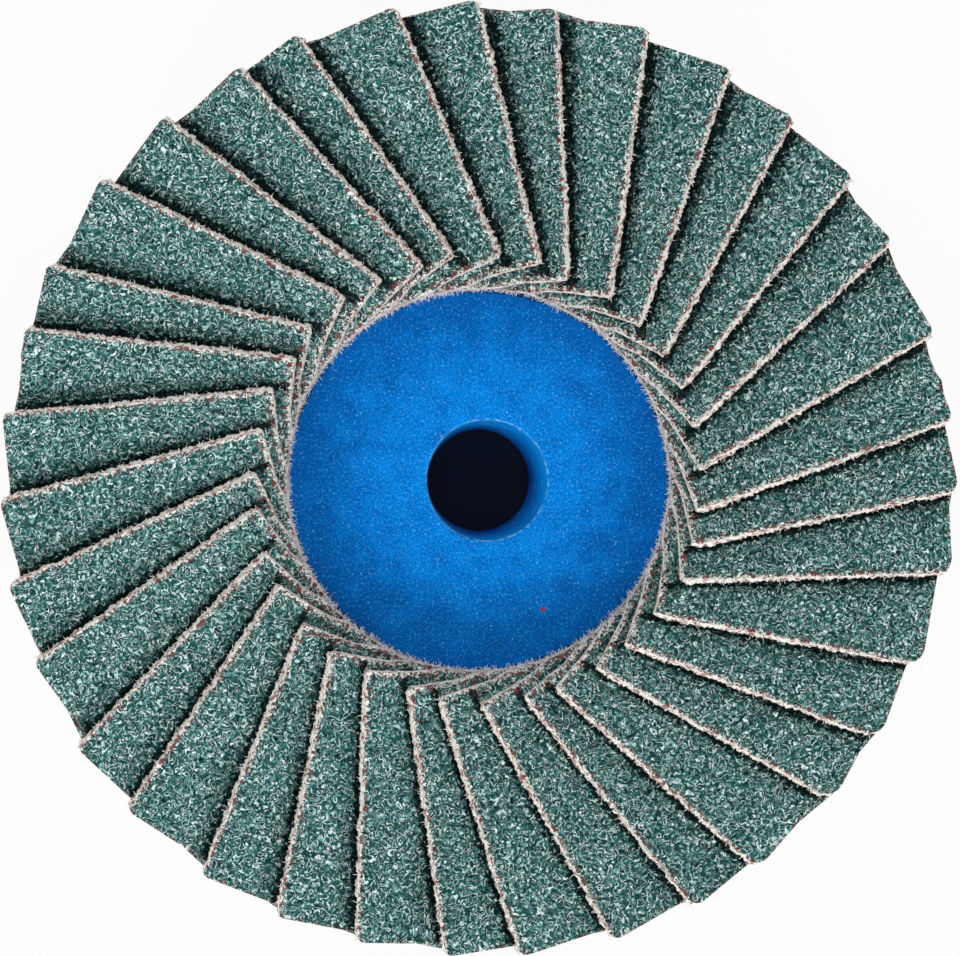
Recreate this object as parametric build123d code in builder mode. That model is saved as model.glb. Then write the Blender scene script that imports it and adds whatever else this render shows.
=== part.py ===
"""Small flap disc with a moulded hub: a fan of coated abrasive flaps bonded to a plastic backing
plate, which carries a blind threaded insert for a quick-change holder.

The disc lies on the back of its hub. The origin is the centre of that face, +Z is the spin axis
and points out of the working side, and the flaps' raised edges face clockwise seen from above.
All sizes are in millimetres.
"""

from build123d import *

import os
import random
from math import asin, atan2, cos, hypot, radians, sqrt, tan

# Flaps: each one is a rectangle of coated cloth, laid with its long side outwards
flap_count = 35
flap_length = 14.1
flap_width = 11.0
flap_thickness = 0.82
flap_reach = 10.1  # from the axis to the middle of a flap's inner edge

# Fan: how far each flap stands above the next one, at its inner and its outer end
climb_inner = 1.005
climb_outer = 1.22

# How far a flap may be off its place, as cut and laid
slip_play = 0.15  # in and out
swing_play = 1.2  # degrees round the axis
turn_play = 1.0  # degrees about the flap's own middle
laying_seed = 372877
first_flap_angle = 92.7  # degrees from +X; the rest follow clockwise

# Outer corners of the flaps, worn round on one side of the disc
corner_radius_sharp = 0.4
corner_radius_worn = 1.0
worn_side = -22.0  # degrees from +X
wear_focus = 6  # the higher, the closer the wear keeps to that side

# Backing plate
plate_radius = 21.5
plate_thickness = 2.2  # at the hub
rim_thickness = 1.6
seat_rise = 0.8  # the flaps' seat is a shallow cone, higher at the rim
rim_round = 0.5
boss_radius = 8.2
boss_height = 4.0
boss_draft = 4.0  # degrees
boss_root_round = 1.5
boss_foot_round = 0.6

# Raised centre of the plate, inside the flaps, with a well down to the insert
centre_gap = 0.05  # between it and a flap that lies as far in as it may
centre_height = 2.8
centre_round = 0.2
well_depth = 4.0
well_mouth_radius = 3.15
well_mouth_shift = 0.46  # the mouth lies off the axis, towards +X
well_foot_radius = 2.66
well_lip_round = 0.12

# Threaded insert, moulded into the boss and open at the back
thread_core_radius = 2.6  # for a quarter inch screw, 20 threads an inch
thread_lead_in = 0.6
insert_across_flats = 8.4
insert_end_wall = 0.8
insert_end_bevel = 0.3
insert_flange_radius = 5.4
insert_flange_thickness = 1.0
insert_groove_radius = 3.75
insert_groove_width = 0.9
insert_groove_height = 2.6  # from the mouth to the groove's middle

# Adhesive between the plate and the flaps
bed_depth = 0.3  # under the lower corners of a flap that is laid true
bed_bite = 0.45  # how deep the flaps' lower edges sink into it
bed_inner_radius = 10.3
bed_rim_inset = 0.4
bed_round = 0.35

# Worked out from the sizes above
flap_step = 360 / flap_count
half_width = flap_width / 2
centre_radius = flap_reach - slip_play - centre_gap
seat_height = boss_height + plate_thickness
face_height = seat_height + centre_height
insert_length = face_height - well_depth
bed_outer_radius = plate_radius - bed_rim_inset


def climb_per_radian(radius):
    """Rise of the fan for each radian that it goes round, at a radius."""
    share = (radius - flap_reach) / flap_length
    return (climb_inner + (climb_outer - climb_inner) * share) / radians(flap_step)


def half_depth(radius):
    """Half of a flap's thickness, measured upright on the slope of the fan."""
    return flap_thickness / 2 * sqrt(1 + (climb_per_radian(radius) / radius) ** 2)


def middle_height(x, y):
    """Height of a flap's middle layer, for a flap that points along +X and climbs towards -Y."""
    return -climb_per_radian(hypot(x, y)) * atan2(y, x)


def fan_foot(radius):
    """How far the flaps' lower edges lie under the middle of the fan, at a radius."""
    return climb_per_radian(radius) * asin(half_width / radius) + half_depth(radius)


def seat_at(radius):
    """Height of the flaps' conical seat on the plate, at a radius."""
    return seat_height + seat_rise * (radius - centre_radius) / (plate_radius - centre_radius)


inner_corner_radius = hypot(flap_reach, half_width)
fan_middle = seat_at(inner_corner_radius) + bed_depth + fan_foot(inner_corner_radius)


# Sheet: an untrimmed flap, a little larger all round, that climbs like a screw's thread
sheet_spare = 0.9
sheet_stations = 4
sheet_steps = 5
sheet_start = flap_reach - sheet_spare
sheet_length = flap_length + 2 * sheet_spare
sheet_side = half_width + sheet_spare

with BuildPart() as sheet:
    for station in range(sheet_stations):
        x = sheet_start + sheet_length * station / (sheet_stations - 1)
        places = [sheet_side * (2 * step / (sheet_steps - 1) - 1) for step in range(sheet_steps)]
        upper = [(y, middle_height(x, y) + half_depth(hypot(x, y))) for y in places]
        lower = [(y, middle_height(x, y) - half_depth(hypot(x, y))) for y in places]
        with BuildSketch(Plane.YZ.offset(x)):
            with BuildLine():
                Spline(upper)
                Line(upper[-1], lower[-1])
                Spline(lower[::-1])
                Line(lower[0], upper[0])
            make_face()
    loft()


# Flaps: each is trimmed from the sheet to its own outline and set at its place round the fan
trim_depth = 8.0
laying = random.Random(laying_seed)


def corner_radius(angle):
    """Radius of a flap's outer corners, for the direction that it points in."""
    wear = max(0.0, cos(radians(angle - worn_side))) ** wear_focus
    return corner_radius_sharp + (corner_radius_worn - corner_radius_sharp) * wear


def make_flap(angle):
    """The flap that points in the direction of angle."""
    middle = flap_reach + flap_length / 2 + laying.uniform(-slip_play, slip_play)
    swing = laying.uniform(-swing_play, swing_play)
    turn = laying.uniform(-turn_play, turn_play)
    with BuildPart() as flap:
        with BuildSketch(Plane.XY.offset(-trim_depth)) as outline:
            with PolarLocations(middle, 1, start_angle=swing):
                Rectangle(flap_length, flap_width, rotation=turn)
            fillet(outline.vertices().sort_by(Axis.X)[-2:], corner_radius(angle))
        extrude(amount=2 * trim_depth)
        add(sheet.part, mode=Mode.INTERSECT)
    return flap.part.moved(Location((0, 0, fan_middle), (0, 0, angle)))


flaps = [make_flap(first_flap_angle - index * flap_step) for index in range(flap_count)]


# Threaded insert, first as the solid block that the plate is moulded round
with BuildPart() as insert_block:
    with BuildSketch():
        RegularPolygon(insert_across_flats / 2, 6, major_radius=False)
    extrude(amount=insert_length)
    chamfer(insert_block.edges().group_by(Axis.Z)[-1], insert_end_bevel)
    with BuildSketch(Plane.XY.offset(insert_groove_height - insert_groove_width / 2)):
        Circle(insert_across_flats)
        Circle(insert_groove_radius, mode=Mode.SUBTRACT)
    extrude(amount=insert_groove_width, mode=Mode.SUBTRACT)
    with BuildSketch():
        Circle(insert_flange_radius)
    extrude(amount=insert_flange_thickness)

with BuildPart() as threaded_insert:
    add(insert_block.part)
    with BuildSketch():
        Circle(thread_core_radius)
    extrude(amount=insert_length - insert_end_wall, mode=Mode.SUBTRACT)
    mouth = threaded_insert.edges().filter_by(GeomType.CIRCLE)
    mouth = mouth.filter_by(lambda edge: abs(edge.radius - thread_core_radius) < 0.01)
    chamfer(mouth.sort_by(Axis.Z)[0], thread_lead_in)


# Backing plate: one moulding, turned round the axis, with the well and the insert's pocket
boss_root_radius = boss_radius + boss_height * tan(radians(boss_draft))
rim_top = seat_at(plate_radius)

with BuildPart() as backing_plate:
    with BuildSketch(Plane.XZ):
        with BuildLine():
            Polyline(
                (0, 0),
                (boss_radius, 0),
                (boss_root_radius, boss_height),
                (plate_radius, rim_top - rim_thickness),
                (plate_radius, rim_top),
                (centre_radius, seat_height),
                (centre_radius, face_height),
                (0, face_height),
                close=True,
            )
        make_face()
    revolve(axis=Axis.Z)
    rings = backing_plate.edges().filter_by(GeomType.CIRCLE).sort_by(Axis.Z)
    boss_foot = rings[0]
    boss_root = rings[1]
    centre_edge = rings[-1]
    rim_edges = rings.group_by(SortBy.RADIUS)[-1]
    fillet(boss_foot, boss_foot_round)
    fillet(boss_root, boss_root_round)
    fillet(centre_edge, centre_round)
    fillet(rim_edges, rim_round)
    with BuildSketch(Plane.XY.offset(insert_length)):
        Circle(well_foot_radius)
    with BuildSketch(Plane.XY.offset(face_height)):
        with Locations((well_mouth_shift, 0)):
            Circle(well_mouth_radius)
    loft(mode=Mode.SUBTRACT)
    add(insert_block.part, mode=Mode.SUBTRACT)
    lip = backing_plate.edges().filter_by(GeomType.CIRCLE).group_by(Axis.Z)[-1]
    fillet(lip.sort_by(SortBy.RADIUS)[0], well_lip_round)


# Adhesive ring: a bed on the plate's seat, moulded round the flaps' lower edges
bed_inner_top = fan_middle - fan_foot(inner_corner_radius) + bed_bite
bed_outer_top = fan_middle - fan_foot(bed_outer_radius) + bed_bite

with BuildPart() as adhesive_ring:
    with BuildSketch(Plane.XZ):
        with BuildLine():
            Polyline(
                (bed_inner_radius, seat_at(bed_inner_radius)),
                (bed_outer_radius, seat_at(bed_outer_radius)),
                (bed_outer_radius, bed_outer_top),
                (bed_inner_radius, bed_inner_top),
                close=True,
            )
        make_face()
    revolve(axis=Axis.Z)
    shoulder = adhesive_ring.edges().filter_by(GeomType.CIRCLE).sort_by(Axis.Z)[-1]
    fillet(shoulder, bed_round)
    for flap in flaps:
        add(flap, mode=Mode.SUBTRACT)


os.makedirs("parts", exist_ok=True)

backing_plate.part.label = "backing_plate"
export_step(backing_plate.part, "parts/backing_plate.step")
threaded_insert.part.label = "threaded_insert"
export_step(threaded_insert.part, "parts/threaded_insert.step")
adhesive_ring.part.label = "adhesive_ring"
export_step(adhesive_ring.part, "parts/adhesive_ring.step")
for number, flap in enumerate(flaps, start=1):
    flap.label = f"flap_{number:02d}"
    export_step(flap, f"parts/{flap.label}.step")
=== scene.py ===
import bpy
import bmesh
import random
from math import atan2, cos, hypot, pi, radians, remainder, sin, sqrt
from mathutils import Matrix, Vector, noise


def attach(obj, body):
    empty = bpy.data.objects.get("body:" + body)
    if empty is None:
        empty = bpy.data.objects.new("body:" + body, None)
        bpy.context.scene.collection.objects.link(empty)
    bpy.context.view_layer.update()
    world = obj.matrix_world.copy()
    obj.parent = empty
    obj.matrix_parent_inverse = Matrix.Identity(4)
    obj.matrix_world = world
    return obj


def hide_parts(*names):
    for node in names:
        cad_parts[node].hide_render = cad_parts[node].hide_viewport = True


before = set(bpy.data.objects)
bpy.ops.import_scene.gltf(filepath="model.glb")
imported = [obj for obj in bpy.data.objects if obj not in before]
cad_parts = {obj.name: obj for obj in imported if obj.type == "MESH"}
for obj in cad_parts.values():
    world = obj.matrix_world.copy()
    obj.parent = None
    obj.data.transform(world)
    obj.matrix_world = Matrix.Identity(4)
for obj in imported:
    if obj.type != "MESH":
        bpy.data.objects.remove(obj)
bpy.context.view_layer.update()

mm = 0.001


def clamped(value):
    return min(1.0, max(0.0, value))


def between(low, high, share):
    return low + (high - low) * share


def addPiece(name, mesh, materials):
    data = bpy.data.meshes.new(name)
    mesh.to_mesh(data)
    mesh.free()
    for material in materials:
        data.materials.append(material)
    piece = bpy.data.objects.new(name, data)
    bpy.context.scene.collection.objects.link(piece)
    return piece


# helpers for the finishes' node trees

def startMaterial(name):
    material = bpy.data.materials.new(name)
    material.use_nodes = True
    tree = material.node_tree
    return material, tree, tree.nodes["Principled BSDF"]


def fillInputs(tree, node, inputs):
    # a value that comes from another node is linked, and any other is set
    for key, value in inputs.items():
        if isinstance(value, bpy.types.NodeSocket):
            tree.links.new(value, node.inputs[key])
        else:
            node.inputs[key].default_value = value


def addNode(tree, kind, inputs, **settings):
    node = tree.nodes.new(kind)
    for key, value in settings.items():
        setattr(node, key, value)
    fillInputs(tree, node, inputs)
    return node


def objectPoint(tree):
    return addNode(tree, "ShaderNodeTexCoord", {}).outputs["Object"]


def attributeAt(tree, name):
    return addNode(tree, "ShaderNodeAttribute", {}, attribute_name=name).outputs["Fac"]


def noiseAt(tree, point, size, detail=2.0, roughness=0.5, output="Fac"):
    # size is the width of one blotch, in metres
    inputs = {"Vector": point, "Scale": 1 / size, "Detail": detail, "Roughness": roughness}
    return addNode(tree, "ShaderNodeTexNoise", inputs).outputs[output]


def spread(tree, value, low, high, toLow=0.0, toHigh=1.0):
    # low to high becomes toLow to toHigh, and stops there at both ends
    inputs = {"Value": value, "From Min": low, "From Max": high, "To Min": toLow, "To Max": toHigh}
    return addNode(tree, "ShaderNodeMapRange", inputs).outputs["Result"]


def blotchesAt(tree, point, size, limits, detail=2.0, roughness=0.6):
    return spread(tree, noiseAt(tree, point, size, detail, roughness), *limits)


def maths(tree, operation, first, second=0.0):
    return addNode(tree, "ShaderNodeMath", {0: first, 1: second}, operation=operation).outputs[0]


def vectorMaths(tree, operation, first, second, output="Vector"):
    node = addNode(tree, "ShaderNodeVectorMath", {0: first, 1: second}, operation=operation)
    return node.outputs[output]


def splitPoint(tree, point):
    return addNode(tree, "ShaderNodeSeparateXYZ", {"Vector": point}).outputs


def blendColour(tree, share, first, second):
    return addNode(tree, "ShaderNodeMix", {0: share, 6: first, 7: second}, data_type="RGBA").outputs[2]


def wireShader(tree, shader, colour, roughness, specular, relief=None, depth=0.0):
    # a relief is a height field, and depth is how deep its bump goes, in metres
    inputs = {"Base Color": colour, "Roughness": roughness, "Specular IOR Level": specular}
    if relief is not None:
        bump = addNode(tree, "ShaderNodeBump", {"Height": relief, "Distance": depth, "Strength": 1.0})
        inputs["Normal"] = bump.outputs["Normal"]
    fillInputs(tree, shader, inputs)


# finishes: a size is the width of a noise's blotches, and a range is the part of the noise that turns
# from one colour to the next, followed by the shares at its two ends where they aren't 0 and 1

coat = {
    "patchSize": 0.75 * mm,
    "patchRange": (0.34, 0.66),
    "speckleSize": 0.20 * mm,
    "speckleRange": (0.48, 0.68, 0.0, 0.8),
    "rimSize": 0.43 * mm,  # of the curls
    "rimTurns": 5.5,  # how tightly their lines are packed
    "rimBend": 0.35 * mm,
    "rimRange": (0.42, 0.94),
    "clearSize": 0.32 * mm,  # of the stretches where the curls stand out
    "clearRange": (0.36, 0.60, 0.10, 1.0),
    "hollowRange": (0.0, 0.35, 0.8, 0.0),  # of a grain's height, from the gap to the grain
    "troughRange": (-0.1, -0.9, 0.0, 0.7),  # of the wave, from the curls to the lines between them
    "lipSize": 0.26 * mm,
    "lipBreak": (0.3, 0.7, -0.60, 0.60),
    "lipRange": (0.25, 0.50, 0.0, 0.94),
    "fraySize": 0.16 * mm,
    "frayBreak": (0.3, 0.7, -0.50, 0.50),
    "frayRange": (0.78, 0.90),
    "redSize": 0.29 * mm,
    "redRange": (0.54, 0.60),
    "redReach": (0.15, 0.60, 0.0, 0.95),  # from the coat to the cut edge
    "deepResin": (0.016, 0.128, 0.122, 1),
    "resin": (0.070, 0.285, 0.270, 1),
    "paleResin": (0.28, 0.60, 0.575, 1),
    "creviceShade": (0.0008, 0.0155, 0.0155, 1),
    "shade": (0.0003, 0.010, 0.010, 1),
    "glint": (0.87, 0.99, 0.97, 1),
    "redGrain": (0.23, 0.070, 0.062, 1),
    "strayThread": (0.95, 0.90, 0.84, 1),
    "roughness": 0.5,
    "specular": 0.03,
    "bump": 0.02 * mm,
}


def makeCoat():
    material, tree, shader = startMaterial("tealCoat")
    point = objectPoint(tree)
    patches = blotchesAt(tree, point, coat["patchSize"], coat["patchRange"], detail=3.0)
    colour = blendColour(tree, patches, coat["deepResin"], coat["resin"])
    speckle = blotchesAt(tree, point, coat["speckleSize"], coat["speckleRange"])
    colour = blendColour(tree, speckle, colour, coat["paleResin"])
    # painted glints: pale curls on the rims of the grains, as level lines of a bent noise, with dark lines
    # between them
    bent = noiseAt(tree, point, coat["rimSize"], detail=1.0, output="Color")
    shift = vectorMaths(tree, "MULTIPLY", bent, (coat["rimBend"],) * 3)
    bentPoint = vectorMaths(tree, "ADD", point, shift)
    field = noiseAt(tree, bentPoint, coat["rimSize"], detail=1.0, roughness=0.4)
    wave = maths(tree, "SINE", maths(tree, "MULTIPLY", field, 2 * pi * coat["rimTurns"]))
    clear = blotchesAt(tree, point, coat["clearSize"], coat["clearRange"], roughness=0.5)
    glints = maths(tree, "MULTIPLY", spread(tree, wave, *coat["rimRange"]), clear)
    # painted shade: darker in the gaps round the grains and in the lines between the curls
    hollows = spread(tree, attributeAt(tree, "grainTop"), *coat["hollowRange"])
    troughs = spread(tree, wave, *coat["troughRange"])
    colour = blendColour(tree, maths(tree, "MAXIMUM", hollows, troughs), colour, coat["creviceShade"])
    colour = blendColour(tree, glints, colour, coat["glint"])
    # painted shadow, close under the raised edge of the flap above
    broken = blotchesAt(tree, point, coat["lipSize"], coat["lipBreak"], detail=3.0)
    lip = maths(tree, "ADD", attributeAt(tree, "lipShade"), broken)
    colour = blendColour(tree, spread(tree, lip, *coat["lipRange"]), colour, coat["shade"])
    # stray threads and red grains along the cut edges
    edge = attributeAt(tree, "cutEdge")
    torn = blotchesAt(tree, point, coat["fraySize"], coat["frayBreak"])
    frayed = spread(tree, maths(tree, "ADD", edge, torn), *coat["frayRange"])
    colour = blendColour(tree, frayed, colour, coat["strayThread"])
    redSpots = blotchesAt(tree, point, coat["redSize"], coat["redRange"])
    reds = maths(tree, "MULTIPLY", redSpots, spread(tree, edge, *coat["redReach"]))
    colour = blendColour(tree, reds, colour, coat["redGrain"])
    wireShader(tree, shader, colour, coat["roughness"], coat["specular"], wave, coat["bump"])
    return material


cloth = {
    "thread": 0.24 * mm,  # pitch of the weave
    "strandSize": 0.12 * mm,
    "strandRange": (0.33, 0.46),
    "sootSize": 0.24 * mm,
    "sootRange": (0.59, 0.65, 0.0, 0.80),
    "rustSize": 0.336 * mm,
    "rustRange": (0.53, 0.61, 0.0, 0.90),
    "rustAside": (0.013, 0, 0),  # another part of the noise than the soot's
    "toneSize": 0.5 * mm,
    "toneRange": (0.35, 0.6),
    "mottleSize": 0.9 * mm,
    "mottleShare": 0.8,
    "weaveRange": (-0.6, 1.2),
    "cream": (0.97, 0.91, 0.85, 1),
    "shade": (0.62, 0.54, 0.48, 1),
    "rust": (0.30, 0.085, 0.072, 1),
    "soot": (0.018, 0.053, 0.050, 1),
    "threadPale": (0.97, 0.97, 0.97, 1),
    "threadShade": (0.82, 0.80, 0.78, 1),
    "backTint": (0.62, 0.50, 0.37, 1),
    "backShade": (0.33, 0.25, 0.17, 1),
    "edgeRoughness": 0.9,
    "edgeSpecular": 0.05,
    "edgeBump": 0.035 * mm,
    "threadRoughness": 0.7,
    "backRoughness": 0.85,
    "specular": 0.2,
    "backBump": 0.05 * mm,
}


def makeClothEdge():
    material, tree, shader = startMaterial("creamClothEdge")
    point = objectPoint(tree)
    strands = noiseAt(tree, point, cloth["strandSize"], detail=3.0, roughness=0.65)
    fibres = spread(tree, strands, *cloth["strandRange"])
    colour = blendColour(tree, fibres, cloth["shade"], cloth["cream"])
    soot = blotchesAt(tree, point, cloth["sootSize"], cloth["sootRange"])
    colour = blendColour(tree, soot, colour, cloth["soot"])
    aside = vectorMaths(tree, "ADD", point, cloth["rustAside"])
    rust = blotchesAt(tree, aside, cloth["rustSize"], cloth["rustRange"])
    colour = blendColour(tree, rust, colour, cloth["rust"])
    gloss = (cloth["edgeRoughness"], cloth["edgeSpecular"])
    wireShader(tree, shader, colour, *gloss, strands, cloth["edgeBump"])
    return material


def makeLooseThread():
    material, tree, shader = startMaterial("looseThread")
    tone = blotchesAt(tree, objectPoint(tree), cloth["toneSize"], cloth["toneRange"], roughness=0.5)
    colour = blendColour(tree, tone, cloth["threadShade"], cloth["threadPale"])
    wireShader(tree, shader, colour, cloth["threadRoughness"], cloth["specular"])
    return material


def makeClothBack():
    material, tree, shader = startMaterial("wovenClothBack")
    lie = addNode(tree, "ShaderNodeUVMap", {}, uv_map="clothLie").outputs["UV"]
    turns = [maths(tree, "MULTIPLY", part, pi / cloth["thread"]) for part in splitPoint(tree, lie)[:2]]
    weave = maths(tree, "MULTIPLY", *[maths(tree, "SINE", turn) for turn in turns])
    mottle = noiseAt(tree, objectPoint(tree), cloth["mottleSize"], detail=3.0)
    height = maths(tree, "ADD", weave, maths(tree, "MULTIPLY", mottle, cloth["mottleShare"]))
    raised = spread(tree, height, *cloth["weaveRange"])
    colour = blendColour(tree, raised, cloth["backShade"], cloth["backTint"])
    wireShader(tree, shader, colour, cloth["backRoughness"], cloth["specular"], height, cloth["backBump"])
    return material


plastic = {
    "cloudSize": 1.3 * mm,
    "cloudShare": 0.45,
    "pebbleSize": 0.15 * mm,
    "toneRange": (0.36, 0.62),
    "flapShadeRange": (5.5 * mm, 9.9 * mm, -0.01, 0.15),  # from the axis: painted shade, the face darker towards the flaps
    "dustSize": 0.12 * mm,
    "dustRange": (0.55, 0.72, 0.0, 0.50),
    "speckPitch": 0.36 * mm,
    "speckRange": (0.08, 0.17, 0.80, 0.0),
    "sparseSize": 0.8 * mm,
    "sparseRange": (0.44, 0.56),
    "redGrainAt": (3.35 * mm, -6.70 * mm, 0),
    "redGrainRange": (0.10 * mm, 0.16 * mm, 1.0, 0.0),
    "wellMiddle": (0.46 * mm, 0, 0),
    "wellRadius": 3.15 * mm,
    "wellFoot": 5.2 * mm,
    "wellSoft": 0.02 * mm,
    "wellTones": (0.25, 1.0),  # from the foot to the lip
    "faceHeight": 9.0 * mm,
    "lipTop": 0.06 * mm,  # under the face
    "lipFoot": 0.16 * mm,
    "lipRange": (0.02 * mm, 0.07 * mm, 0.9, 0.0),
    "lipGapSize": 0.30 * mm,
    "lipGapRange": (0.42, 0.66),
    "streakSize": 0.9 * mm,
    "streakRange": (0.58, 0.74, 0.0, 0.5),
    "streakSquash": (1, 1, 4),
    "blue": (0.0003, 0.245, 0.800, 1),
    "deepBlue": (0.0001, 0.116, 0.460, 1),
    "fleck": (0.12, 0.54, 0.97, 1),
    "wellBlue": (0.001, 0.260, 0.700, 1),
    "paleSheen": (0.20, 0.52, 0.76, 1),
    "redGrain": (0.32, 0.055, 0.070, 1),
    "roughness": 0.34,
    "wellRoughness": 0.16,
    "specular": 0.04,
    "bump": 0.012 * mm,
}


def makePlastic():
    material, tree, shader = startMaterial("bluePlastic")
    point = objectPoint(tree)
    height = splitPoint(tree, point)[2]
    flatPoint = vectorMaths(tree, "MULTIPLY", point, (1, 1, 0))
    cloud = noiseAt(tree, point, plastic["cloudSize"], detail=4.0)
    pebble = noiseAt(tree, point, plastic["pebbleSize"], roughness=0.55)
    cloudPart = maths(tree, "MULTIPLY", cloud, plastic["cloudShare"])
    tone = maths(tree, "ADD", cloudPart, maths(tree, "MULTIPLY", pebble, 1 - plastic["cloudShare"]))
    fromAxis = vectorMaths(tree, "DISTANCE", flatPoint, (0, 0, 0), "Value")
    # painted shade: the face darkens towards the flaps that stand round it
    tone = maths(tree, "SUBTRACT", tone, spread(tree, fromAxis, *plastic["flapShadeRange"]))
    tone = spread(tree, tone, *plastic["toneRange"])
    colour = blendColour(tree, tone, plastic["deepBlue"], plastic["blue"])
    # pale flecks of grinding dust, fine and a few coarse
    dust = blotchesAt(tree, point, plastic["dustSize"], plastic["dustRange"])
    cells = addNode(tree, "ShaderNodeTexVoronoi", {"Vector": point, "Scale": 1 / plastic["speckPitch"]})
    specks = spread(tree, cells.outputs["Distance"], *plastic["speckRange"])
    sparse = blotchesAt(tree, point, plastic["sparseSize"], plastic["sparseRange"], roughness=0.5)
    dust = maths(tree, "MAXIMUM", dust, maths(tree, "MULTIPLY", specks, sparse))
    colour = blendColour(tree, dust, colour, plastic["fleck"])
    # one red grain on the face
    wellHeights = (plastic["wellFoot"], plastic["faceHeight"])
    fromGrain = vectorMaths(tree, "DISTANCE", flatPoint, plastic["redGrainAt"], "Value")
    onGrain = spread(tree, fromGrain, *plastic["redGrainRange"])
    onFace = maths(tree, "MULTIPLY", onGrain, spread(tree, height, *wellHeights))
    colour = blendColour(tree, onFace, colour, plastic["redGrain"])
    # the well's wall is smoother, painted lighter near the lip and darker towards the foot, with streaks of
    # painted reflection down it
    fromWell = vectorMaths(tree, "DISTANCE", flatPoint, plastic["wellMiddle"], "Value")
    wellEdge = (plastic["wellRadius"] - plastic["wellSoft"], plastic["wellRadius"] + plastic["wellSoft"])
    lipHeights = (plastic["faceHeight"] - plastic["lipFoot"], plastic["faceHeight"] - plastic["lipTop"])
    inside = spread(tree, fromWell, *wellEdge, 1.0, 0.0)
    wall = maths(tree, "MULTIPLY", inside, spread(tree, height, *lipHeights, 1.0, 0.0))
    wallShading = spread(tree, height, *wellHeights, *plastic["wellTones"])
    wallColour = blendColour(tree, wallShading, plastic["deepBlue"], plastic["wellBlue"])
    streakPoint = vectorMaths(tree, "MULTIPLY", point, plastic["streakSquash"])
    streaks = blotchesAt(tree, streakPoint, plastic["streakSize"], plastic["streakRange"], detail=3.0)
    wallColour = blendColour(tree, streaks, wallColour, plastic["paleSheen"])
    colour = blendColour(tree, wall, colour, wallColour)
    # painted highlight: a pale line round the well's lip, broken here and there
    fromLip = maths(tree, "ABSOLUTE", maths(tree, "SUBTRACT", fromWell, plastic["wellRadius"]))
    lipGaps = blotchesAt(tree, point, plastic["lipGapSize"], plastic["lipGapRange"], detail=3.0)
    lipHighlight = maths(tree, "MULTIPLY", spread(tree, fromLip, *plastic["lipRange"]), lipGaps)
    colour = blendColour(tree, lipHighlight, colour, plastic["paleSheen"])
    roughness = spread(tree, wall, 0.0, 1.0, plastic["roughness"], plastic["wellRoughness"])
    wireShader(tree, shader, colour, roughness, plastic["specular"], pebble, plastic["bump"])
    return material


steel = {
    "wearSize": 1.1 * mm,
    "wearRange": (0.4, 0.75),
    "rubHeights": (0.0, 1.2 * mm, 0.8, 0.0),  # over the mouth, where the holder's face bears
    "rubSize": 0.5 * mm,
    "rubRange": (0.35, 0.65, 0.15, 1.0),
    "scratchSize": 0.09 * mm,
    # the black and the worn patches are tinted blue, a painted reflection of the blue well round the insert
    "black": (0.0012, 0.006, 0.017, 1),
    "worn": (0.006, 0.015, 0.034, 1),
    "rubbed": (0.085, 0.088, 0.098, 1),
    "roughness": 0.38,
    "wornRoughness": 0.62,
    "specular": 0.2,
    "bump": 0.006 * mm,
}


def makeBlackSteel():
    material, tree, shader = startMaterial("blackenedSteel")
    point = objectPoint(tree)
    wear = blotchesAt(tree, point, steel["wearSize"], steel["wearRange"], detail=4.0)
    colour = blendColour(tree, wear, steel["black"], steel["worn"])
    mouth = spread(tree, splitPoint(tree, point)[2], *steel["rubHeights"])
    rubs = blotchesAt(tree, point, steel["rubSize"], steel["rubRange"], detail=4.0, roughness=0.65)
    colour = blendColour(tree, maths(tree, "MULTIPLY", mouth, rubs), colour, steel["rubbed"])
    roughness = spread(tree, wear, 0.0, 1.0, steel["roughness"], steel["wornRoughness"])
    scratches = noiseAt(tree, point, steel["scratchSize"], detail=3.0)
    wireShader(tree, shader, colour, roughness, steel["specular"], scratches, steel["bump"])
    return material


glue = {
    "cloudSize": 0.9 * mm,
    "cloudRange": (0.3, 0.7),
    "rippleSize": 0.55 * mm,
    "amber": (0.115, 0.060, 0.026, 1),
    "dark": (0.035, 0.022, 0.014, 1),
    "roughness": 0.3,
    "specular": 0.5,
    "wetness": 0.3,
    "bump": 0.16 * mm,
}


def makeGlue():
    material, tree, shader = startMaterial("setResin")
    point = objectPoint(tree)
    cloud = blotchesAt(tree, point, glue["cloudSize"], glue["cloudRange"], detail=4.0, roughness=0.5)
    colour = blendColour(tree, cloud, glue["dark"], glue["amber"])
    ripples = noiseAt(tree, point, glue["rippleSize"], detail=3.0)
    wireShader(tree, shader, colour, glue["roughness"], glue["specular"], ripples, glue["bump"])
    shader.inputs["Coat Weight"].default_value = glue["wetness"]
    return material


print("finishes")
tealCoat = makeCoat()
clothEdge = makeClothEdge()
clothBack = makeClothBack()
looseThread = makeLooseThread()
bluePlastic = makePlastic()
blackSteel = makeBlackSteel()
setResin = makeGlue()


# flaps: the same fan as the frame's, with grain, frayed edges, loose threads and a woven back

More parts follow.
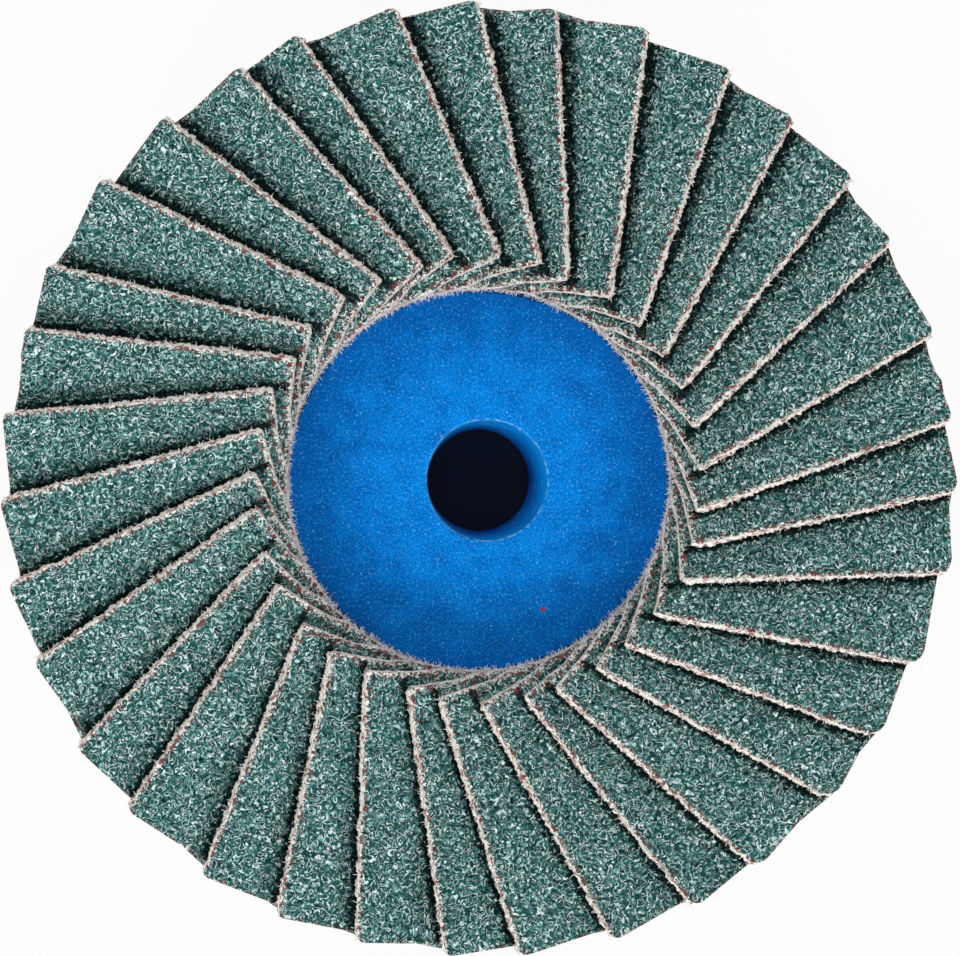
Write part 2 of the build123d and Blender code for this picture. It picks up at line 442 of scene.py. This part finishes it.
flap = {
    "count": 35,
    "length": 14.1 * mm,
    "width": 11.0 * mm,
    "thickness": 0.82 * mm,
    "reach": 10.1 * mm,  # from the axis to the inner edge
    "climbInner": 1.005 * mm,  # how far a flap stands above the next, at its inner end
    "climbOuter": 1.22 * mm,
    "fanMiddle": 9.919 * mm,  # height of the fan's middle over the hub's back
    "firstAngle": 92.7,
    "slipPlay": 0.15 * mm,
    "swingPlay": 1.2,
    "turnPlay": 1.0,
    "layingSeed": 372877,
    "cornerSharp": 0.4 * mm,
    "cornerWorn": 1.0 * mm,
    "cornerHidden": 1.35 * mm,  # the trailing one, under the flap above
    "cornerLeast": 0.15 * mm,  # of the round that the cut turns on at the inner corners
    "wornSide": -22.0,
    "wearFocus": 6,
    "rowsAlong": 160,
    "columnsShown": 44,
    "columnsCovered": 9,
    "lap": 0.3 * mm,  # how far the close grid runs on under the flap above
    "backRows": 20,
    "backColumns": 10,
    "backLength": 0.985,  # share of the flap that the back's grid covers
    "backWidth": 0.98,
    "hubRadius": 9.91 * mm,  # the hub's raised centre, which the flaps' lower threads stop at
    "hubFace": 9.0 * mm,
}

edging = {
    "leadSlopeInner": 0.25 * mm,  # how far the cut cloth shows beyond the coat on the raised edge
    "leadSlopeOuter": 0.14 * mm,
    "innerSlope": 0.07 * mm,
    "outerSlope": 0.04 * mm,
    "trailSlope": 0.03 * mm,
    "hubReach": 0.30 * mm,  # the most that the inner edge bows in to the hub, where it runs close by
    "hubLap": 0.05 * mm,
    "hubSpan": 2.6 * mm,
    "fray": 0.10 * mm,
    "frayPitch": 0.13 * mm,
    "fraySeedStep": 3.7,
    "frayStart": 0.2,  # the cut is straight down to this share of the slope
    "frayCalm": 0.25,  # share of the fray that an edge with a slope under calmSlope gets
    "calmSlope": 0.1 * mm,
    "frayWidth": 0.35 * mm,  # of the coat that frays, along the cut
    "innerFray": 0.6,  # the inner edge frays further in
    "outerTrim": 0.10 * mm,  # the outer edge is cut cleaner
    "rimGrain": 0.6,  # height of the grain down the cut
    "waver": 0.08 * mm,
    "waverPitch": 0.7 * mm,
    "waverWidth": 0.5 * mm,
    "waverSeedStep": 5.3,
    "lipShadeInner": 0.55 * mm,
    "lipShadeOuter": 1.05 * mm,
    "lipShadeLeast": 0.55,  # share of it that is left away from 12 o'clock
    # depth, and share of the slope
    "rings": ((0.10 * mm, 0.16), (0.26 * mm, 0.34), (0.50 * mm, 0.78), (0.82 * mm, 1.0)),
    "coatDepth": 0.17 * mm,
    "backDepth": 0.99,  # share of the thickness
}

fibre = {
    "innerCount": 120,
    "leadCount": 30,
    "hubSpread": 1.2 * mm,
    "strayShare": 0.15,
    "strayInset": 0.1 * mm,
    "strayEnd": 0.35,  # share of the half width
    "innerRoot": 0.04 * mm,  # how deep a thread is rooted
    "leadRoot": 0.06 * mm,
    "innerLength": (0.08 * mm, 0.42 * mm),
    "innerShortest": 0.4,
    "leadLength": (0.08 * mm, 0.30 * mm),
    "innerRise": (-0.2, 0.4),
    "leadRise": (-0.2, 0.3),
    "fan": 0.9,  # radians to either side
    "thickness": 0.023 * mm,
    "taper": 0.6,
    "sides": 3,
    "steps": 2,
    "curl": 0.5,
    "depths": (0.04 * mm, 0.45 * mm),
}

grain = {
    "size": 0.31 * mm,
    "depth": 0.15 * mm,
    "shoulder": 0.42,  # width of the gap round a grain, in grains
    "heightSpread": 0.07 * mm,
    "heightMiddle": 0.7,
    "tilt": 0.32,
    "seedStep": 7.31,
    "kindScale": 53.0,
}

step = radians(360 / flap["count"])
halfLength = flap["length"] / 2
halfWidth = flap["width"] / 2


def climbPerRadian(radius):
    share = (radius - flap["reach"]) / flap["length"]
    return between(flap["climbInner"], flap["climbOuter"], share) / step


def cornerRadius(angle):
    wear = max(0.0, cos(angle - radians(flap["wornSide"]))) ** flap["wearFocus"]
    return between(flap["cornerSharp"], flap["cornerWorn"], wear)


def grainHeight(along, across, seed):
    # flat-topped grains, each at its own height and tilt, and how near a spot is to the top of one
    spot = Vector((along / grain["size"], across / grain["size"], seed * grain["seedStep"]))
    distances, centres = noise.voronoi(spot)
    top = clamped((distances[1] - distances[0]) / grain["shoulder"])
    top = top * top * (3 - 2 * top)
    kind = noise.cell_vector(centres[0] * grain["kindScale"])
    slope = (spot - centres[0]).dot(kind - Vector((0.5, 0.5, 0.5))) * grain["tilt"] * grain["size"]
    ownHeight = (kind.x - grain["heightMiddle"]) * grain["heightSpread"]
    return (top - 1) * grain["depth"] + ownHeight + slope * top, top


def roundCorners(along, across, outerEnd, leadSide, trailSide, leadCorner):
    # the outer corners are drawn in to a round
    side, edgeAt, corner = (-1, leadSide, leadCorner) if across < 0 else (1, trailSide, flap["cornerHidden"])
    intoLength = (along - (outerEnd - corner)) / corner
    intoWidth = (side * across - (edgeAt - corner)) / corner
    if intoLength <= 0 or intoWidth <= 0:
        return along, across
    along = outerEnd - corner + corner * intoLength * sqrt(1 - intoWidth ** 2 / 2)
    across = side * (edgeAt - corner + corner * intoWidth * sqrt(1 - intoLength ** 2 / 2))
    return along, across


def layFlap(index, laying):
    # a flap's place: its direction, the reach of its middle, and how far it is swung and turned
    slip = laying.uniform(-flap["slipPlay"], flap["slipPlay"])
    swing = radians(laying.uniform(-flap["swingPlay"], flap["swingPlay"]))
    turn = swing + radians(laying.uniform(-flap["turnPlay"], flap["turnPlay"]))
    angle = radians(flap["firstAngle"]) - index * step
    return {
        "angle": angle,
        "middle": flap["reach"] + halfLength + slip,
        "swung": angle + swing,
        "turned": angle + turn,
    }


def onDisc(place, along, across):
    # a point of a flap, seen from above in the disc's frame
    x = place["middle"] * cos(place["swung"]) + along * cos(place["turned"]) - across * sin(place["turned"])
    y = place["middle"] * sin(place["swung"]) + along * sin(place["turned"]) + across * cos(place["turned"])
    return x, y


def onFlap(place, x, y):
    # the reverse: where a point of the disc lies on a flap
    turned = place["turned"]
    awayX = x - place["middle"] * cos(place["swung"])
    awayY = y - place["middle"] * sin(place["swung"])
    return awayX * cos(turned) + awayY * sin(turned), awayY * cos(turned) - awayX * sin(turned)


def onFan(place, along, across, lift):
    # a point of a flap that is laid on the fan, with the fan's twist, and kept out of the hub
    x, y = onDisc(place, along, across)
    radius = hypot(x, y)
    climb = climbPerRadian(radius)
    slant = sqrt(1 + (climb / radius) ** 2)
    bearing = remainder(atan2(y, x) - place["angle"], 2 * pi)
    z = flap["fanMiddle"] - climb * bearing + (flap["thickness"] / 2 + lift) * slant
    if z < flap["hubFace"] and radius < flap["hubRadius"]:
        x, y = x * flap["hubRadius"] / radius, y * flap["hubRadius"] / radius
    return x, y, z


def hubLean(place, across):
    # how far the inner edge bows in to the hub, where it runs close by
    gap = hypot(*onDisc(place, -halfLength, across)) - flap["hubRadius"]
    fade = clamped(2 - 2 * abs(across) / edging["hubSpan"])
    return fade * min(edging["hubReach"], gap + edging["hubLap"])


def leadLine(along):
    # where the coat ends on the raised edge
    share = 0.5 + along / flap["length"]
    return between(edging["leadSlopeInner"], edging["leadSlopeOuter"], share) - halfWidth


def growFibre(mesh, flat, chance, root, way, length):
    # one loose thread, thin and curled, from its root in the cut edge
    spot = root.copy()
    loop = bmesh.ops.create_circle(mesh, segments=fibre["sides"], radius=1.0)["verts"]
    rootEdges = list({edge for vert in loop for edge in vert.link_edges})
    edges = rootEdges
    for stage in range(fibre["steps"] + 1):
        if stage:
            grown = bmesh.ops.extrude_edge_only(mesh, edges=edges)["geom"]
            edges = [item for item in grown if isinstance(item, bmesh.types.BMEdge)]
            loop = [item for item in grown if isinstance(item, bmesh.types.BMVert)]
            way = way + Vector([chance.uniform(-fibre["curl"], fibre["curl"]) for axis in range(3)])
            way.normalize()
            spot = spot + way * length / fibre["steps"]
        side = way.orthogonal().normalized()
        over = way.cross(side)
        width = fibre["thickness"] * (1 - fibre["taper"] * stage / fibre["steps"])
        for number, vert in enumerate(loop):
            turn = 2 * pi * number / fibre["sides"]
            vert[flat] = spot + (side * cos(turn) + over * sin(turn)) * width
    bmesh.ops.contextual_create(mesh, geom=rootEdges)
    bmesh.ops.contextual_create(mesh, geom=edges)


def growFibres(mesh, flat, place, seed):
    # loose threads on the edges that show: first the inner one, then the raised one
    chance = random.Random(seed)
    for number in range(fibre["innerCount"] + fibre["leadCount"]):
        depth = -chance.uniform(*fibre["depths"])
        bend = chance.uniform(-fibre["fan"], fibre["fan"])
        if number < fibre["innerCount"]:
            across = chance.gauss(0, fibre["hubSpread"])
            if chance.random() < fibre["strayShare"]:
                across = chance.uniform(fibre["strayInset"] - halfWidth, halfWidth * fibre["strayEnd"])
            root = Vector((fibre["innerRoot"] - halfLength - hubLean(place, across), across, depth))
            way = Vector((-cos(bend), sin(bend), chance.uniform(*fibre["innerRise"]))).normalized()
            length = chance.uniform(*fibre["innerLength"])
            length = length * between(fibre["innerShortest"], 1, chance.random())
        else:
            root = Vector((chance.uniform(-halfLength, halfLength), fibre["leadRoot"] - halfWidth, depth))
            way = Vector((sin(bend), -cos(bend), chance.uniform(*fibre["leadRise"]))).normalized()
            length = chance.uniform(*fibre["leadLength"])
        growFibre(mesh, flat, chance, root, way, length)


def makeFlap(index, places):
    place = places[index]
    above = places[index - 1]  # the flap that lies over this one
    corner = cornerRadius(place["angle"])
    seed = index + 1
    low = (edging["innerSlope"] - halfLength, leadLine(0))
    high = (halfLength - edging["outerSlope"], halfWidth - edging["trailSlope"])
    # the painted shadow under the edge above is widest at 12 o'clock, as if lit from the left
    shadeShare = between(edging["lipShadeLeast"], 1, max(0.0, sin(place["angle"])))
    lipEnds = [onFlap(place, *onDisc(above, end * halfLength, -halfWidth)) for end in (-1, 1)]

    def lipAcross(along):
        # where the raised edge of the flap above crosses this one
        (startAlong, startAcross), (endAlong, endAcross) = lipEnds
        return between(startAcross, endAcross, (along - startAlong) / (endAlong - startAlong))

    def outward(spot):
        # the direction out of the outline at a point of its edge, and how far the cut slopes out there
        outerReach = corner if spot.y < 0 else flap["cornerHidden"]
        reach = max(flap["cornerLeast"], outerReach if spot.x > 0 else 0.0)
        core = Vector((min(high[0] - reach, max(low[0] + reach, spot.x)), 0, 0))
        core.y = min(high[1] - reach, max(low[1] + reach, spot.y))
        way = (Vector((spot.x, spot.y, 0)) - core).normalized()
        slope = max(0, -way.y) ** 2 * (leadLine(spot.x) + halfWidth)
        slope += max(0, way.y) ** 2 * edging["trailSlope"]
        slope += max(0, way.x) ** 2 * edging["outerSlope"]
        slope += max(0, -way.x) ** 2 * edging["innerSlope"]
        return way, slope

    mesh = bmesh.new()
    flat = mesh.verts.layers.float_vector.new("flat")  # along, across, lift: the flap before it is laid
    grainTop = mesh.verts.layers.float.new("grainTop")
    cutEdge = mesh.verts.layers.float.new("cutEdge")
    lipShade = mesh.verts.layers.float.new("lipShade")
    clothLie = mesh.loops.layers.uv.new("clothLie")

    growFibres(mesh, flat, place, seed)
    threads = set(mesh.faces)

    # the coat's grid, close where it shows and wide where the flap above covers it
    columns = flap["columnsShown"] + flap["columnsCovered"]
    shownShare = flap["columnsShown"] / columns
    top = bmesh.ops.create_grid(mesh, x_segments=flap["rowsAlong"], y_segments=columns, size=0.5)["verts"]
    for vert in top:
        share = vert.co.x + 0.5
        column = vert.co.y + 0.5
        along = between(low[0], high[0], share)
        hidden = lipAcross(along) + flap["lap"]
        if column <= shownShare:
            across = between(leadLine(along), hidden, column / shownShare)
        else:
            across = between(hidden, high[1], (column - shownShare) / (1 - shownShare))
        along, across = roundCorners(along, across, high[0], -leadLine(along), high[1], corner)
        along = along - hubLean(place, across) * (1 - share)
        vert[flat] = (along, across, 0.0)

    # the cut edge goes down in rings, from the coat through the cloth, and keeps the rim's attributes
    loop = [edge for edge in mesh.edges if edge.is_boundary]
    for edge in loop:
        for vert in edge.verts:
            vert[cutEdge] = 1.0
    lastShare = 0.0
    fraySeed = Vector((seed * edging["fraySeedStep"], 0, 0))
    for depth, share in edging["rings"]:
        grown = bmesh.ops.extrude_edge_only(mesh, edges=loop)["geom"]
        loop = [item for item in grown if isinstance(item, bmesh.types.BMEdge)]
        for vert in (item for item in grown if isinstance(item, bmesh.types.BMVert)):
            along, across = vert[flat].xy
            way, slope = outward(vert[flat])
            spot = Vector((along, across, depth)) / edging["frayPitch"] + fraySeed
            ragged = noise.noise(spot) * edging["fray"] if share > edging["frayStart"] else 0.0
            calm = 1 if slope > edging["calmSlope"] else edging["frayCalm"]
            push = slope * (share - lastShare) + ragged * calm
            vert[flat] = (along + way.x * push, across + way.y * push, -depth)
            vert[grainTop] = edging["rimGrain"]
        lastShare = share

    # woven underside, coarser, joined to the last ring
    under = bmesh.ops.create_grid(mesh, x_segments=flap["backRows"], y_segments=flap["backColumns"], size=0.5)
    under = set(under["verts"])
    for vert in under:
        along = vert.co.x * flap["backLength"] * flap["length"]
        across = vert.co.y * flap["backWidth"] * flap["width"]
        along, across = roundCorners(along, across, halfLength, halfWidth, halfWidth, corner)
        vert[flat] = (along, across, -flap["thickness"])
    bmesh.ops.reverse_faces(mesh, faces=[face for face in mesh.faces if face.verts[0] in under])
    bmesh.ops.bridge_loops(mesh, edges=[edge for edge in mesh.edges if edge.is_boundary])

    # materials by depth: 0 coat, 1 cut cloth, 2 woven back, and 3 for the loose threads
    for face in mesh.faces:
        depth = sum(vert[flat].z for vert in face.verts) / len(face.verts)
        if face in threads:
            face.material_index = 3
        elif depth < -flap["thickness"] * edging["backDepth"]:
            face.material_index = 2
        elif depth < -edging["coatDepth"]:
            face.material_index = 1
        face.smooth = True
        for faceLoop in face.loops:
            faceLoop[clothLie].uv = faceLoop.vert[flat].xy

    # grain on the top, a wavering raised edge, and then the flap is laid on the fan
    top = set(top)
    for vert in mesh.verts:
        along, across, lift = vert[flat]
        if vert in top:
            height, plateau = grainHeight(along, across, seed)
            lift = lift + height
            outerGap = high[0] - along + edging["outerTrim"]
            innerGap = (along - low[0] + hubLean(place, across)) * edging["innerFray"]
            edgeGap = min(across - leadLine(along), innerGap, outerGap) / edging["frayWidth"]
            vert[cutEdge] = max(0.0, 1.0 - edgeGap)
            vert[grainTop] = plateau
            # the shade under the edge above is wider at the outer end
            share = 0.5 + along / flap["length"]
            shadeWidth = between(edging["lipShadeInner"], edging["lipShadeOuter"], share) * shadeShare
            vert[lipShade] = max(0.0, 1.0 - abs(lipAcross(along) - across) / shadeWidth)
        fade = clamped(1 - (across - low[1]) / edging["waverWidth"])
        if fade > 0:
            spot = Vector((along / edging["waverPitch"], seed * edging["waverSeedStep"], 0))
            across = across + fade * edging["waver"] * noise.noise(spot)
        vert.co = onFan(place, along, across, lift)

    piece = addPiece(f"abrasive_flap_{index + 1:02d}", mesh, (tealCoat, clothEdge, clothBack, looseThread))
    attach(piece, "root")
    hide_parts(f"flap_{index + 1:02d}")


print("flaps")
laying = random.Random(flap["layingSeed"])
places = [layFlap(index, laying) for index in range(flap["count"])]
for index in range(flap["count"]):
    makeFlap(index, places)


# threaded insert, with its thread

insert = {
    "length": 5.0 * mm,
    "flangeRadius": 5.4 * mm,
    "flangeThickness": 1.0 * mm,
    "halfFlats": 4.2 * mm,
    "bevel": 0.3 * mm,
    "grooveRadius": 3.75 * mm,
    "grooveHeight": 2.6 * mm,
    "grooveHalf": 0.45 * mm,
    "coreRadius": 2.6 * mm,  # over the crests of the thread
    "threadDepth": 0.56 * mm,
    "threadFlank": 1.3,  # the higher, the wider the thread's root
    "threadCrest": 0.15,  # the higher, the wider its crest
    "threadRunOut": 0.5 * mm,
    "pitch": 1.27 * mm,
    "leadIn": 0.6 * mm,
    "boreDepth": 4.2 * mm,
    "segments": 72,
    "rows": 76,
}


def hexagonReach(turn, halfFlats):
    side = radians(60)
    return halfFlats / cos(turn % side - side / 2)


def threadReach(turn, height):
    # right-handed V thread that runs out at the blind end, with a lead-in at the mouth
    phase = (height / insert["pitch"] - turn / (2 * pi)) % 1
    groove = clamped(insert["threadFlank"] * (1 - abs(2 * phase - 1)) - insert["threadCrest"])
    runOut = clamped((insert["boreDepth"] - height) / insert["threadRunOut"])
    leadIn = insert["coreRadius"] + max(0.0, insert["leadIn"] - height)
    return max(leadIn, insert["coreRadius"] + groove * insert["threadDepth"] * runOut)


def makeInsert():
    grooveTop = insert["grooveHeight"] + insert["grooveHalf"]
    grooveFoot = insert["grooveHeight"] - insert["grooveHalf"]

    def hexagon(inset):
        return lambda turn: hexagonReach(turn, insert["halfFlats"] - inset)

    def circle(radius):
        return lambda turn: radius

    # rings from the closed end down the outside and up the bore: height, and reach for a turn
    rings = [
        (insert["length"], hexagon(insert["bevel"])),
        (insert["length"] - insert["bevel"], hexagon(0)),
        (grooveTop, hexagon(0)),
        (grooveTop, circle(insert["grooveRadius"])),
        (grooveFoot, circle(insert["grooveRadius"])),
        (grooveFoot, hexagon(0)),
        (insert["flangeThickness"], hexagon(0)),
        (insert["flangeThickness"], circle(insert["flangeRadius"])),
        (0.0, circle(insert["flangeRadius"])),
    ]
    for row in range(insert["rows"] + 1):
        height = insert["boreDepth"] * row / insert["rows"]
        rings.append((height, lambda turn, height=height: threadReach(turn, height)))
    mesh = bmesh.new()
    bmesh.ops.create_circle(mesh, segments=insert["segments"], radius=insert["flangeRadius"])
    edges = list(mesh.edges)
    closedEnd = edges
    for stage, (height, reach) in enumerate(rings):
        if stage:
            grown = bmesh.ops.extrude_edge_only(mesh, edges=edges)["geom"]
            edges = [item for item in grown if isinstance(item, bmesh.types.BMEdge)]
        for vert in {vert for edge in edges for vert in edge.verts}:
            turn = atan2(vert.co.y, vert.co.x)
            vert.co = (reach(turn) * cos(turn), reach(turn) * sin(turn), height)
    bmesh.ops.contextual_create(mesh, geom=closedEnd)
    bmesh.ops.contextual_create(mesh, geom=edges)
    bmesh.ops.recalc_face_normals(mesh, faces=mesh.faces)
    piece = addPiece("steel_insert", mesh, (blackSteel,))
    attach(piece, "root")
    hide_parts("threaded_insert")


def finishNode(node, material):
    # a node of the frame that keeps its shape
    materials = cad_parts[node].data.materials
    materials.clear()
    materials.append(material)


print("insert")
makeInsert()

print("hub")
finishNode("backing_plate", bluePlastic)
finishNode("adhesive_ring", setResin)


# floor, light and camera

stage = {
    "floorHalf": 0.6,
    "floorDrop": 0.02 * mm,
    "floorColour": (0.86, 0.86, 0.86, 1),
    "floorRoughness": 0.9,
    "floorGlow": 0.93,  # to the camera only
    "cameraHeight": 0.40,
    "cameraAside": (0.09 * mm, 0.11 * mm),
    "clipStart": 0.01,
    "discPixels": 477.0,  # radius of the flaps' outer corners in the picture
    "discRadius": 24.55 * mm,
    "discHeight": 11.9 * mm,
    "pictureWidth": 960,
    "sensor": 36.0,
    "lampDistance": 0.60,
    "lampRise": 30.0,  # degrees over the floor
    "lampSize": 0.25,
    "lamps": (  # bearing in degrees, power in watts
        ("nearLeft", 235.0, 2.0),
        ("nearRight", 305.0, 1.8),
        ("farLeft", 140.0, 1.15),
        ("farRight", 40.0, 1.1),
    ),
    "roomLight": 0.27,
}


def makeFloor():
    mesh = bmesh.new()
    bmesh.ops.create_grid(mesh, x_segments=1, y_segments=1, size=stage["floorHalf"])
    bmesh.ops.translate(mesh, vec=(0, 0, -stage["floorDrop"]), verts=mesh.verts)
    material, tree, shader = startMaterial("paleFloor")
    fillInputs(tree, shader, {"Base Color": stage["floorColour"], "Roughness": stage["floorRoughness"]})
    seen = addNode(tree, "ShaderNodeLightPath", {}).outputs["Is Camera Ray"]
    share = maths(tree, "MULTIPLY", seen, stage["floorGlow"])
    glow = addNode(tree, "ShaderNodeEmission", {"Strength": 1.0})
    mix = addNode(tree, "ShaderNodeMixShader", {0: share, 1: shader.outputs[0], 2: glow.outputs[0]})
    tree.links.new(mix.outputs[0], tree.nodes["Material Output"].inputs["Surface"])
    floor = addPiece("studioFloor", mesh, (material,))


def makeLamp(name, bearing, power):
    # an area lamp on a ring round the disc, turned to the foot of its axis
    reach = stage["lampDistance"] * cos(radians(stage["lampRise"]))
    height = stage["lampDistance"] * sin(radians(stage["lampRise"]))
    place = Vector((reach * cos(radians(bearing)), reach * sin(radians(bearing)), height))
    light = bpy.data.lights.new(name, "AREA")
    light.size = stage["lampSize"]
    light.energy = power
    lamp = bpy.data.objects.new(name, light)
    lamp.location = place
    lamp.rotation_euler = (-place).to_track_quat("-Z", "Y").to_euler()
    bpy.context.scene.collection.objects.link(lamp)


def makeCamera():
    view = bpy.data.cameras.new("camera")
    view.sensor_width = stage["sensor"]
    distance = stage["cameraHeight"] - stage["discHeight"]
    view.lens = stage["discPixels"] * stage["sensor"] / stage["pictureWidth"] * distance / stage["discRadius"]
    view.clip_start = stage["clipStart"]
    camera = bpy.data.objects.new("camera", view)
    camera.location = (*stage["cameraAside"], stage["cameraHeight"])
    bpy.context.scene.collection.objects.link(camera)
    bpy.context.scene.camera = camera


def makeRoomLight():
    world = bpy.data.worlds.new("softRoom")
    world.use_nodes = True
    background = world.node_tree.nodes["Background"]
    fillInputs(world.node_tree, background, {"Color": (1, 1, 1, 1), "Strength": stage["roomLight"]})
    bpy.context.scene.world = world


print("stage")
makeFloor()
for name, bearing, power in stage["lamps"]:
    makeLamp(name, bearing, power)
makeCamera()
makeRoomLight()
bpy.context.scene.view_settings.view_transform = "Standard"
